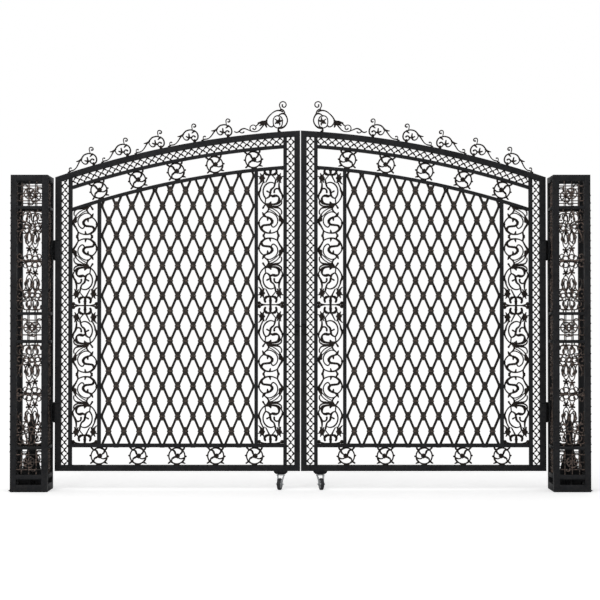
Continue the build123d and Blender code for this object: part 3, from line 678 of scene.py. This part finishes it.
def large_crest():
    return joined([
        stroke([(-305, 4), (-292, -2), (-277, 2), (-261, 17), (-240, 25), (-213, 16), (-192, 8),
                (-165, 3), (-139, 11), (-118, 33), (-96, 62)], 8, 11, 8, 7, 9, 11),
        stroke([(-272, 9), (-261, -4), (-249, -5), (-241, 1)], 8, 7, 10),
        stroke([(-188, 5), (-199, 24), (-194, 41), (-176, 49), (-160, 42), (-158, 26), (-168, 17),
                (-178, 24)], 8, 7, 9),
        stroke([(-162, 40), (-148, 50), (-136, 64)], 7, 11),
        stroke([(-143, 62), (-122, 66), (-100, 70), (-83, 80)], 11, 25, 12),
        stroke([(-131, 45), (-111, 57), (-89, 68)], 10, 24),
        stroke([(-84, 34), (-90, 48), (-91, 66)], 9, 24),
        stroke([(-90, 70), (-74, 102), (-52, 126), (-26, 144), (0, 149), (24, 142)], 11, 8, 12),
        stroke([(-90, 72), (-76, 52), (-63, 39), (-48, 36), (-36, 48)], 12, 9, 10),
        stroke([(35, 130), (51, 107), (58, 83), (50, 54), (30, 34), (5, 29)], 12, 9, 10, 18),
        stroke([(4, 147), (18, 157), (31, 149), (37, 136), (37, 124)], 10, 9, 9, 14),
        stroke([(38, 127), (16, 126), (3, 119), (-5, 108)], 14, 10, 8),
        stroke([(16, 156), (8, 170), (3, 183), (8, 200), (26, 210), (46, 200), (49, 183), (37, 171),
                (24, 175), (23, 188)], 8, 8, 8, 10),
        stroke([(0, 32), (-4, 20), (-4, 10), (3, 2)], 12, 13, 22),
        stroke([(-8, 114), (-30, 104), (-40, 71), (-30, 38), (-8, 28)], 8, 8, 8),
        stroke([(-8, 114), (14, 104), (24, 71), (14, 38), (-8, 28)], 8, 8, 8),
        stroke([(4, 101), (3, 87), (-7, 73)], 8, 14, 6),
        stroke([(26, 82), (13, 77), (-5, 72)], 8, 16, 6),
        stroke([(5, 48), (4, 60), (-5, 71)], 8, 14, 6),
        stroke([(-25, 60), (-14, 66), (-5, 71)], 10, 14, 6),
        stroke([(-26, 89), (-15, 81), (-6, 73)], 8, 9, 6),
        knob(23, 187, 6), knob(-178, 24, 6), knob(-241, 1, 5.5), knob(-90, 68, 12, 0.7),
        flower(-8, 71, 14, 4),
    ])


crest_count = 5
crest_first, crest_pitch = 495, 230
large_x = middle - 147.5
small = crest_scroll()
crests = [on_arch(small, arch_radius, middle - crest_first - crest_pitch * n) for n in range(crest_count)]
crests.append(moved(large_crest(), large_x, 0, arch_height(arch_radius, large_x)))
on_leaves("crest_castings", joined(crests), "casting_paint", casting_paint, "crest_scrolls")


# %% [markdown]
# ## Bands of crossed bars
# Cast bars cross in a chain between each stile and its neighbour. A stout bracket sits at each crossing,
# thin stems run from it to a bead at the inner tube, and swelling arms reach the outer one. One link is
# drawn and repeated, up both edges and then round under the arch rail.

# %% Crossed bars and beads
wave_pitch = 50.8
wave_shift = 2
arch_wave_shift = 4
bead_inset = 4.6
stem_inset = 2.5


def wave_link():
    """A crossing with a bead at the inner edge, on the left, and the stile on the right."""
    half = wave_pitch / 2
    inner = bead_inset - band_width / 2
    outer = band_width / 2 - stem_inset
    arms = joined([
        stroke([(1, 3), (7.5, 8.5), (13, 15), (18, 20), (outer, half)], 6.5, 5.5, 10.5, 10, sides=8, step=6),
        stroke([(-9, 12), (inner, half)], 4.5, sides=6, step=8),
        knob(outer, half, 6.2),
    ])
    bracket = stroke([(-10, 13), (-5, 8.5), (0.5, 4), (1.5, 0), (0.5, -4), (-5, -8.5), (-10, -13)], 11,
                     sides=8, step=6)
    return joined([arms, flipped(arms, 2), bracket, knob(inner, -half, 8)])


# %% Chains up both edges and under the arch
rail_tuck = 12
stile_tuck = 14
link = wave_link()
hinge_band_left = leaf_start + stile_width
meeting_band_left = leaf_end - stile_width - band_width
upright_links = []
for left, part in ((hinge_band_left, flipped(link, 0)), (meeting_band_left, link)):
    x = left + band_width / 2
    count = int((arch_height(band_radius, left) - rail_top) / wave_pitch)
    upright_links += [moved(part, x, 0, rail_top + wave_pitch * n + wave_shift) for n in range(count + 1)]
uprights = cut_to(joined(upright_links), lambda x, y, z: z < arch_height(band_radius, x) + rail_tuck)

chain_radius = (band_radius + inner_radius) / 2
chain_start = math.asin((arch_x - inner_right) / chain_radius)
chain_end = math.asin((arch_x - inner_left) / chain_radius)
count = round((chain_end - chain_start) * chain_radius / wave_pitch)
lying_link = tilted(link, math.pi / 2)
arch_links = []
for n in range(count + 1):
    turn = chain_start + (chain_end - chain_start) * (n + 0.5) / count - arch_wave_shift / chain_radius
    arch_links.append(on_arch(lying_link, chain_radius, arch_x - chain_radius * math.sin(turn)))
arch = cut_to(joined(arch_links),
              lambda x, y, z: (x > frieze_left - stile_tuck) & (x < frieze_right + stile_tuck))
on_leaves("crossed_bars", joined([uprights, arch]), "casting_paint", casting_paint, "circle_bands")


# %% [markdown]
# ## Lattice
# The field of diamonds is made as a smith would make it: square bars bent to a zigzag stand side by
# side, and where two neighbours meet, a cast collar with a raised rib grips the pair.

# %% Zigzag bars
diamonds_across = 10
diamond_half = 102.9
pitch = (field_right - field_left) / diamonds_across
bar_width = 16
first_row = cross_top - 19
half_clasp = 8.5
bar_tuck = 4
broken_edge = 1.2


def square_bar(points, width):
    """Square bar with broken edges along a line of straight runs."""
    points = np.array(points, float)
    runs = np.diff(points, axis=0)
    runs /= np.linalg.norm(runs, axis=1)[:, None]
    before = np.concatenate((runs[:1], runs))
    after = np.concatenate((runs, runs[-1:]))
    middle_way = before + after
    middle_way /= np.linalg.norm(middle_way, axis=1)[:, None]
    stretch = 1 / np.sum(middle_way * after, axis=1)
    half = width / 2
    edge = half - broken_edge
    section = [(half, -edge), (half, edge), (edge, half), (-edge, half), (-half, edge), (-half, -edge),
               (-edge, -half), (edge, -half)]
    vertices = []
    for point, way, factor in zip(points, middle_way, stretch):
        for across, deep in section:
            x = point[0] - way[1] * across * factor
            z = point[1] + way[0] * across * factor
            vertices.append((x, deep, z))
    return np.array(vertices), tube_faces(len(points), len(section))


def zigzag(index):
    """One bar, straight where it lies against its neighbour, and cut off inside the bar above."""
    left = field_left + index * pitch / 2 + bar_width / 2
    right = field_left + (index + 1) * pitch / 2 - bar_width / 2
    points = []
    row = 0
    while True:
        x = left if (row + index) % 2 == 0 else right
        z = first_row + row * diamond_half
        if z - half_clasp > arch_height(field_radius, x) + bar_tuck:
            break
        points += [(x, z - half_clasp), (x, z + half_clasp)]
        row += 1
    run_in, run_out = points[-1], (x, z - half_clasp)
    share = 1.0
    for _ in range(12):
        place = run_in[0] + (run_out[0] - run_in[0]) * share
        share = (arch_height(field_radius, place) + bar_tuck - run_in[1]) / (run_out[1] - run_in[1])
    if share > 0:
        points.append((place, run_in[1] + (run_out[1] - run_in[1]) * share))
    else:
        points[-1] = (run_in[0], arch_height(field_radius, run_in[0]) + bar_tuck)
    return square_bar(points, bar_width)


on_leaves("lattice_bars", joined([zigzag(index) for index in range(2 * diamonds_across)]),
          "casting_paint", lattice_paint, "lattice")


# %% Collars
def collar():
    """Cast collar: two drums with a raised rib and a bead between them."""
    lower = ((-29.5, 13.5), (-28, 15), (-21, 15), (-19.5, 13.5), (-8, 13.5), (-6.5, 15), (-5.5, 20))
    profile = (*lower, (0, 21), *((-height, half) for height, half in reversed(lower)))
    sides = 12
    points = []
    for height, half in profile:
        for side in range(sides):
            turn = 2 * math.pi * (side + 0.5) / sides
            x = half * math.copysign(abs(math.cos(turn)) ** 0.6, math.cos(turn))
            y = 0.78 * half * math.copysign(abs(math.sin(turn)) ** 0.6, math.sin(turn))
            points.append((x, y, height))
    return np.array(points), tube_faces(len(profile), sides)


most_rows = 20
room_above = 20
room_beside = 5
one_collar = collar()
collars = []
for row in range(1, most_rows):
    z = first_row + row * diamond_half
    for column in range(diamonds_across + 1):
        x = field_left + pitch * (column + 0.5 * (row % 2))
        inside = field_left + room_beside < x < field_right - room_beside
        if inside and z + room_above < arch_height(field_radius, x):
            collars.append(moved(one_collar, x, 0, z))
on_leaves("lattice_collars", joined(collars), "casting_paint", collar_and_highlight_paint)


# %% [markdown]
# ## Posts
# Each post is a cage of four tubes with a cast panel in each face. A tall panel is symmetrical both
# ways, so a quarter of it is drawn and mirrored twice. The cross bars between the panels are blocks
# with broken edges.

# %% Block and post stroke
def block(left, bottom, right, top, depth):
    """Flat bar with broken edges, given by its corners on the front drawing."""
    x, z = (left + right) / 2, (bottom + top) / 2
    half_w, half_h, cut = (right - left) / 2, (top - bottom) / 2, broken_edge
    points = []
    for y, inset in ((-depth / 2, cut), (-depth / 2 + cut, 0), (depth / 2 - cut, 0), (depth / 2, cut)):
        a, b = half_w - inset, half_h - inset
        corners = ((a, -b + cut), (a, b - cut), (a - cut, b), (-a + cut, b), (-a, b - cut), (-a, -b + cut),
                   (-a + cut, -b), (a - cut, -b))
        points += [(x + dx, y, z + dz) for dx, dz in corners]
    return np.array(points), tube_faces(4, 8)


def post_stroke(points, *widths):
    """A little coarser than on the leaves, because the posts hold many copies of each casting."""
    return stroke(points, *widths, sides=8, step=9)


# %% Post castings
window = half_post - corner_tube
casting_tuck = 1


def tall_casting(half):
    """Stars, long loops and curls about both middle lines."""
    side = window + casting_tuck
    quarter = joined([
        post_stroke([(0, 0), (44, 1), (side, 6)], 10, 8, 9),
        circle(0, 22, 18, 8, sides=8, step=9),
        post_stroke([(44, 2), (64, 7), (80, 20), (78, 36), (64, 43), (51, 34), (56, 24)], 7, 8, 7, 9),
        post_stroke([(24, 24), (14, 46), (3, 68)], 7),
        knob(0, 79, 11),
        post_stroke([(0, 79), (0, 95)], 10, 14),
        post_stroke([(0, 79), (16, 84)], 10, 14),
        post_stroke([(0, 79), (10, 65)], 10, 14),
        post_stroke([(0, 122), (9, 130), (12, 150), (10, 172), (2, 192)], 8, 8, 10),
        knob(0, 197, 11),
        post_stroke([(0, 192), (0, 212)], 14, 8),
        post_stroke([(6, 96), (17, 116), (20, 142), (21, 166), (27, 190), (40, 208)], 7, 8, 10, 8),
        post_stroke([(20, 172), (30, 164), (30, 150), (22, 146)], 8, 8, 10),
        post_stroke([(42, 206), (56, 190), (65, 165), (67, 140), (58, 124), (46, 128),
                     (50, 141)], 11, 9, 8, 10),
        post_stroke([(84, 197), (62, 198), (44, 209), (38, 230), (48, 248), (66, 254), (78, 244),
                     (76, 230), (66, 224)], 9, 10, 9, 9, 8, 10),
        circle(18, 232, 15, 8, sides=8, step=9),
        post_stroke([(0, 204), (6, 212), (12, 220)], 9),
        post_stroke([(34, 240), (24, 258), (13, 276), (14, 298), (10, 314), (-2, 330), (-20, 333),
                     (-36, 324), (-38, 308)], 9, 8, 11, 13, 8, 8, 10),
        post_stroke([(0, 246), (0, 272)], 8),
        post_stroke([(20, 262), (44, 268), (62, 284), (60, 306), (46, 312), (40, 300)], 8, 10, 8, 9),
        post_stroke([(side, 272), (66, 270)], 9),
        post_stroke([(38, 322), (56, 330), (side, 322)], 9, 8),
        post_stroke([(0, 330), (0, half)], 10),
        post_stroke([(56, 330), (58, half)], 9),
    ])
    upper = joined([quarter, flipped(quarter, 0)])
    return joined([upper, flipped(upper, 2)])


def square_casting(size):
    """A flower in a ring, with rays and a curl to each corner."""
    half = size / 2
    parts = [circle(0, 0, 36, 9, sides=8), flower(0, 0, 18, 8)]
    for turn in range(8):
        ray = joined([post_stroke([(8, 0), (36, 0)], 8, 6), knob(27, 0, 5)])
        parts.append(tilted(ray, turn * math.pi / 4))
    for turn in range(4):
        arm = joined([
            post_stroke([(36, 0), (half, 0)], 7),
            post_stroke([(50, -half), (50, half)], 7),
            post_stroke([(50, 50), (60, 32), (56, 18), (44, 16)], 8, 8, 9),
        ])
        parts.append(tilted(arm, turn * math.pi / 2))
    return joined(parts)


# %% One face of a post
base_rail_top = 48
slot_top = 86
first_square = 116
square_height = 170
bar_height = 20
top_rail = 40
bar_depth = 25


def cross_bar(bottom, top):
    return block(-window, bottom, window, top, bar_depth)


def post_panel():
    """The cross bars of one face of a post, and the castings between them."""
    rails = [cross_bar(post_base, base_rail_top), cross_bar(slot_top, first_square)]
    square = square_casting(square_height)
    level = first_square
    castings = [moved(square, z=level + square_height / 2)]
    level += square_height
    tall = (post_height - top_rail - level - 2 * square_height - 4 * bar_height) / 2
    tall_part = tall_casting(tall / 2)
    for part, height in 2 * ((tall_part, tall), (square, square_height)):
        rails.append(cross_bar(level, level + bar_height))
        castings.append(moved(part, z=level + bar_height + height / 2))
        level += bar_height + height
    rails.append(cross_bar(level, post_height))
    return joined(rails), joined(castings)


# %% Four faces on each post
rails, castings = (moved(part, y=-half_post + bar_depth / 2) for part in post_panel())
faces_round = {"front": 0, "inner": 90, "back": 180, "outer": 270}
for face, angle in faces_round.items():
    for side in ("left", "right"):
        kinds = (("castings", castings, "casting_paint", post_paint, [f"{side}_post_{face}_panel"]),
                 ("cross_bars", rails, "frame_paint", frame_paint, []))
        for kind, shape, slot, paint, replaced in kinds:
            part = on_side(turned(shape, math.radians(angle)), side)
            make_piece(f"{side}_post_{face}_{kind}", part, "posts", paint, replaced)
print("post panels:", 2 * len(faces_round), "of", len(castings[1]), "faces")


# %% [markdown]
# ## Hinges, lock and studs
# Small fittings make the frame look built rather than drawn: caps on the hinge pins, screws in the cover
# plates, a key plate and latch on the lock, and two rows of rivet heads down each post's outer side. A
# flattened ball does for every head and cap, so one helper serves them all.

# %% Screws and painted highlight strips
def screws(places, face, radius=4.5):
    """Domed heads on the front of a plate."""
    return joined([moved(knob(x, z, radius, 0.5), y=face) for x, z in places])


def highlight_strip(left, right, z, face):
    """Lighter strip along a plate's upper edge: a painted highlight where the edge catches light."""
    return moved(block(left, z - 2.5, right, z, 3), y=face)


# %% Hinge caps, plate screws and painted highlights on the plate edges
pin_x, pin_y = half_post + 13, leaf_back + 12
hinge_levels = (525, 1636)
hinge_height = 126
plate_thickness = 3
edge_behind = 2
screw_columns, screw_rows = (9, 31), (-48, 0, 48)
caps = []
covers = []
edges = []
for level in hinge_levels:
    plate_top = level + hinge_height / 2
    for z in (level - hinge_height / 2, plate_top):
        caps.append(moved(knob(0, 0, 8, 0.9), pin_x, pin_y, z))
    places = [(leaf_start + x, level + z) for x in screw_columns for z in screw_rows]
    covers.append(screws(places, leaf_front - plate_thickness))
    # A lighter strip along each cover plate's top edge: a painted highlight.
    edges.append(highlight_strip(leaf_start, leaf_start + stile_width, plate_top, leaf_front - edge_behind))
print("hinges at", hinge_levels, "mm,", len(places), "screws each")

# %% Post studs, and all of these in place
stud_pitch = 50.8
stud_count = 35
first_stud = 270
stud_rows = (corner_tube / 2 - half_post, half_post - corner_tube / 2)
stud = turned(knob(0, 0, 7.5, 0.9), math.radians(90))
studs = [moved(stud, -half_post, y, first_stud + stud_pitch * n)
         for y in stud_rows for n in range(stud_count)]
for side in ("left", "right"):
    leaf = f"{side}_leaf"
    for name, parts, body, slot, paint in (
            ("hinge_caps", caps, "posts", "black_fittings", fitting_paint),
            ("post_studs", studs, "posts", "frame_paint", frame_paint),
            ("hinge_screws", covers, leaf, "black_fittings", fitting_paint),
            # The plate-edge strips are a painted highlight.
            ("hinge_plate_highlights", edges, leaf, "frame_paint", collar_and_highlight_paint)):
        make_piece(f"{side}_{name}", on_side(joined(parts), side), body, paint)
print("studs a post:", len(studs))

# %% Lock plates and latch
lock_low, lock_high = ([1000 * value for value in corner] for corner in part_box("left_lock"))
lock_left, lock_right = lock_low[0], lock_high[0]
lock_bottom, lock_top = lock_low[2], lock_high[2]
face = lock_low[1]
screw_inset = 6
screw_places = [(x, z) for x in (lock_left + screw_inset, lock_right - screw_inset)
                for z in (lock_bottom + screw_inset, lock_top - screw_inset - 1)]
key_x, key_z = (lock_left + lock_right) / 2, lock_bottom + 22
keyhole = post_stroke([(key_x, key_z), (key_x, key_z - 12)], 7, 10)
key_plate = joined([circle(key_x, key_z + 5, 7, 3), keyhole])
latch_bottom, latch_top = 1109, 1119
latch_root, latch_reach, latch_depth = 3, 2.2, 14
latch = block(leaf_end - latch_root, latch_bottom, leaf_end + latch_reach, latch_top, latch_depth)
details = [screws(screw_places, face, 3.2), moved(key_plate, y=face), moved(latch, y=leaf_middle)]
on_leaves("lock_details", joined(details), "black_fittings", fitting_paint, y=0)
# A lighter strip along the lock plate's top edge: a painted highlight.
on_leaves("lock_highlight_strip", highlight_strip(lock_left, lock_right, lock_top, face), "black_fittings", collar_and_highlight_paint, y=0)


# %% [markdown]
# ## Castors
# A wheel under each leaf carries its free end. Turned parts are a closed outline spun about an axis, and
# the pressed fork is a stack of rectangles that narrow and lean back towards the axle.

# %% Turning a profile
trail = 28
wheel_radius = 40
fork_top = 106


def spun(profile, sides=32, square=1.0):
    """Closed outline of (radius, height) points about the vertical; a low square value gives corners."""
    turns = 2 * math.pi * (np.arange(sides) + 0.5) / sides
    points = []
    for radius, height, power in [(*pair, square if pair[0] > 10 else 1.0) for pair in profile]:
        for turn in turns:
            x = radius * math.copysign(abs(math.cos(turn)) ** power, math.cos(turn))
            y = radius * math.copysign(abs(math.sin(turn)) ** power, math.sin(turn))
            points.append((x, y, height))
    faces = []
    for ring in range(len(profile)):
        first, other = ring * sides, (ring + 1) % len(profile) * sides
        for side in range(sides):
            following = (side + 1) % sides
            faces.append([first + side, first + following, other + following, other + side])
    return np.array(points), faces


def both_ways(half):
    """A profile with its mirror image, for a part that is the same on both sides."""
    return [*half, *((radius, -height) for radius, height in reversed(half))]


def on_axle(part):
    """From the vertical to the wheel's axle, which lies along x."""
    return part[0][:, [2, 1, 0]] + np.array((0, trail, wheel_radius)), part[1]


# %% Fork: two cheeks, crown, race, axle and nuts
sheet = 3
cheek_levels = ((fork_top - sheet, 24, -20, 22), (96, 24, -20, 24), (84, 20, -14, 30), (62, 18, 4, 34),
                (40, 18, 16, 40), (30, 18, 22, 34))
corners = []
for z, outer, back, front in cheek_levels:
    inner = outer - sheet
    corners += [(inner, back, z), (outer, back, z), (outer, front, z), (inner, front, z)]
cheek = np.array(corners, float), tube_faces(len(cheek_levels), 4)
nut = spun([(5, 18.2), (9, 18.2), (9, 23), (5, 23)], 6)
bolt_end = spun([(1, 8), (4.9, 8), (4.9, 25), (3.5, 26.5), (1, 26.5)], 16)
half_axle = joined([on_axle(nut), on_axle(bolt_end)])
crown = spun([(5.6, -5), (23, -5), (24, -4), (24, -1.5), (23, -0.5), (5.6, -0.5)], 32, 0.5)
race = spun([(5.6, -3.6), (22, -3.6), (23.5, -3), (22.5, -2), (24, -1), (23, 0), (5.6, 0)])
fork = joined([moved(crown, z=fork_top - sheet), moved(race, z=fork_top), cheek, flipped(cheek, 0), half_axle,
               flipped(half_axle, 0)])
print("fork of", len(fork[1]), "faces")

# %% Wheel, and both castors in place
tread = ((28, -8), (30, -11), (34, -12), (38, -10.5), (40, -6), (40, -2), (38.8, -1.2))
rim = ((5.2, -13), (11, -13), (12, -11), (13, -5), (24, -4), (26, -9), (28.5, -9.5), (29, -7))
tyre = on_axle(spun(both_ways(tread), 48))
hub = on_axle(spun(both_ways(rim), 48))
castor_x = middle - 135
castor_turn = math.radians(166)
for name, shape, body, slot, material, replaced in (
        ("fork_pressing", fork, "castor_fork", "zinc", zinc, ["castor_fork"]),
        ("tyre", tyre, "castor_wheel", "rubber", rubber, ["castor_wheel"]),
        ("hub", hub, "castor_wheel", "rubber", zinc, [])):
    shape = moved(turned(shape, castor_turn), castor_x, leaf_middle)
    for side in ("left", "right"):
        nodes = [f"{side}_{node}" for node in replaced]
        make_piece(f"{side}_castor_{name}", on_side(shape, side), f"{side}_{body}", material, nodes)
print("castors at", round(castor_x), "and", round(2 * middle - castor_x), "mm")


# %% [markdown]
# ## Camera, light and floor
# A long lens from well back shows the gate square on, with the posts' inner faces just in view. The
# world gives plain soft light all round. A camera ray that misses the gate sees white, and so does a
# reflection, while a lamp high in front adds the small highlights on the paint.

# %% Camera
camera_data = bpy.data.cameras.new("camera")
camera = bpy.data.objects.new("camera", camera_data)
scene.collection.objects.link(camera)
camera_data.sensor_width = 36
camera_data.lens = 89.27
camera.location = (middle / 1000 - 0.0034, -10.135, 1.139)
camera.rotation_euler = (math.radians(90.873), 0, 0)
scene.camera = camera
print("camera at", [round(value, 2) for value in camera.location], "m")

# %% World and lamp
scene.view_settings.view_transform = "Standard"
world = bpy.data.worlds.new("studio")
scene.world = world
world.use_nodes = True
nodes, tree = world.node_tree.nodes, world.node_tree.links
soft = nodes["Background"]
soft.inputs["Color"].default_value = (1, 1, 1, 1)
soft.inputs["Strength"].default_value = 0.75
white = nodes.new("ShaderNodeBackground")
white.inputs["Color"].default_value = (1, 1, 1, 1)
white.inputs["Strength"].default_value = 1.0
ray = nodes.new("ShaderNodeLightPath")
seen = nodes.new("ShaderNodeMath")
seen.operation = "ADD"
tree.new(ray.outputs["Is Camera Ray"], seen.inputs[0])
tree.new(ray.outputs["Is Glossy Ray"], seen.inputs[1])
seen_through = nodes.new("ShaderNodeMath")
seen_through.operation = "ADD"
seen_through.use_clamp = True
tree.new(seen.outputs["Value"], seen_through.inputs[0])
tree.new(ray.outputs["Is Transmission Ray"], seen_through.inputs[1])
choice = nodes.new("ShaderNodeMixShader")
tree.new(seen_through.outputs["Value"], choice.inputs["Fac"])
tree.new(soft.outputs["Background"], choice.inputs[1])
tree.new(white.outputs["Background"], choice.inputs[2])
tree.new(choice.outputs["Shader"], nodes["World Output"].inputs["Surface"])

lamp_data = bpy.data.lights.new("key", "AREA")
lamp_data.energy = 160
lamp_data.size = 3
lamp = bpy.data.objects.new("key", lamp_data)
scene.collection.objects.link(lamp)
lamp.location = (middle / 1000 - 2.5, -6, 5)
lamp.rotation_euler = (math.radians(50), 0, math.radians(-20))
print("lamp of", lamp_data.energy, "W,", lamp_data.size, "m wide")

# %% Floor
floor_mesh = bpy.data.meshes.new("floor")
reach = 60
floor_mesh.from_pydata([(-reach, -reach, 0), (reach, -reach, 0), (reach, reach, 0), (-reach, reach, 0)], [],
                       [(0, 1, 2, 3)])
floor = bpy.data.objects.new("floor", floor_mesh)
scene.collection.objects.link(floor)
floor_material, nodes, links = new_material("pale_floor")
matt = nodes["Principled BSDF"]
matt.inputs["Base Color"].default_value = (0.8, 0.8, 0.8, 1)
matt.inputs["Roughness"].default_value = 0.9
matt.inputs["Specular IOR Level"].default_value = 0.0
matt.inputs["Emission Color"].default_value = (1, 1, 1, 1)
ray = nodes.new("ShaderNodeLightPath")
seen_lift = spread(nodes, links, ray.outputs["Is Camera Ray"], 0, 1, 0, 0.42)
links.new(seen_lift, matt.inputs["Emission Strength"])
floor.data.materials.append(floor_material)
print("floor:", 2 * reach, "m wide")
